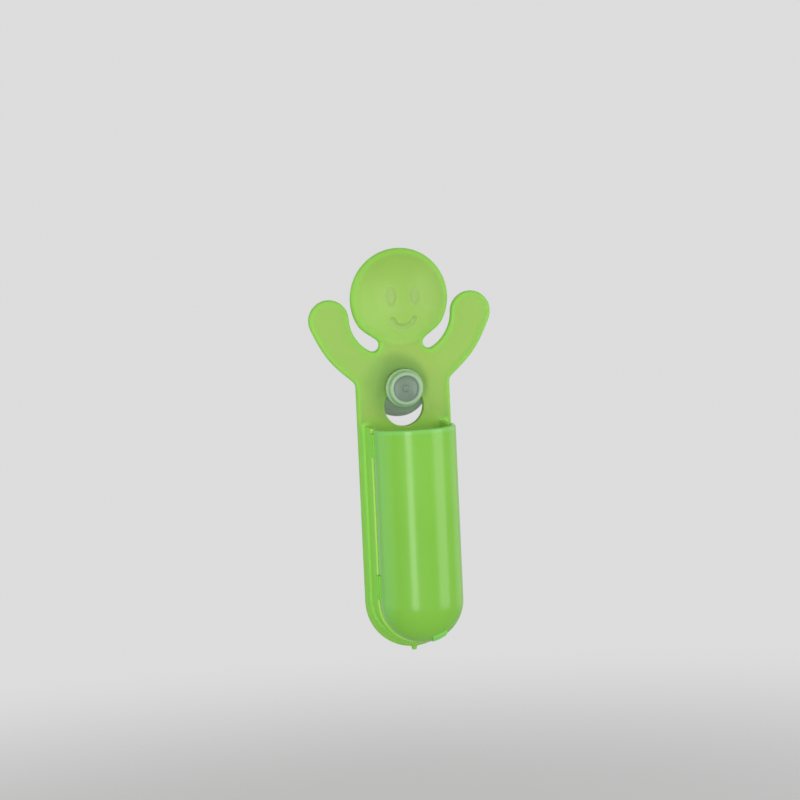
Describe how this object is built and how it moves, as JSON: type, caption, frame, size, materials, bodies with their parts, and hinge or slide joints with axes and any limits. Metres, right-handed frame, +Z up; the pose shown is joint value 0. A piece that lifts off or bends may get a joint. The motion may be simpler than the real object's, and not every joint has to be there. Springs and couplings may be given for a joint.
{
  "type": "suction toothbrush holder",
  "caption": "Wall toothbrush holder: figure-shaped plate with a domed smiling head, a hinged pocket cover that encloses the brush head, and a suction cup buttoned into a keyhole.",
  "frame": {"origin": "on the suction cup's axis, in the plane of the wall that the cup sticks to", "axes": "+Z up, -Y to the front (away from the wall), +Y into the wall, +X to the right of someone who faces the holder"},
  "size_m": [0.0538, 0.0283, 0.1164],
  "materials": {
    "lime_frosted": "frosted translucent lime polypropylene",
    "lime_gloss": "glossy lime polypropylene",
    "clear_pvc": "clear soft PVC, slightly grey-green"
  },
  "bodies": {
    "cup": {"suction_cup": "clear_pvc"},
    "holder": {"figure_plate": "lime_frosted", "upper_hinge_strap": "lime_gloss", "lower_hinge_strap": "lime_gloss"},
    "cover": {"front_cover": "lime_gloss"}
  },
  "joints": [
    {"name": "holder_lift", "type": "slide", "parent": "cup", "child": "holder", "axis": [0, 0, 1], "range_m": [0, 0.0053]},
    {"name": "cover_hinge", "type": "hinge", "parent": "holder", "child": "cover", "pos_m": [-0.01295, -0.01835, 0], "axis": [0, 0, -1], "range_deg": [0, 180], "deforming": ["upper_hinge_strap", "lower_hinge_strap"]}
  ]
}
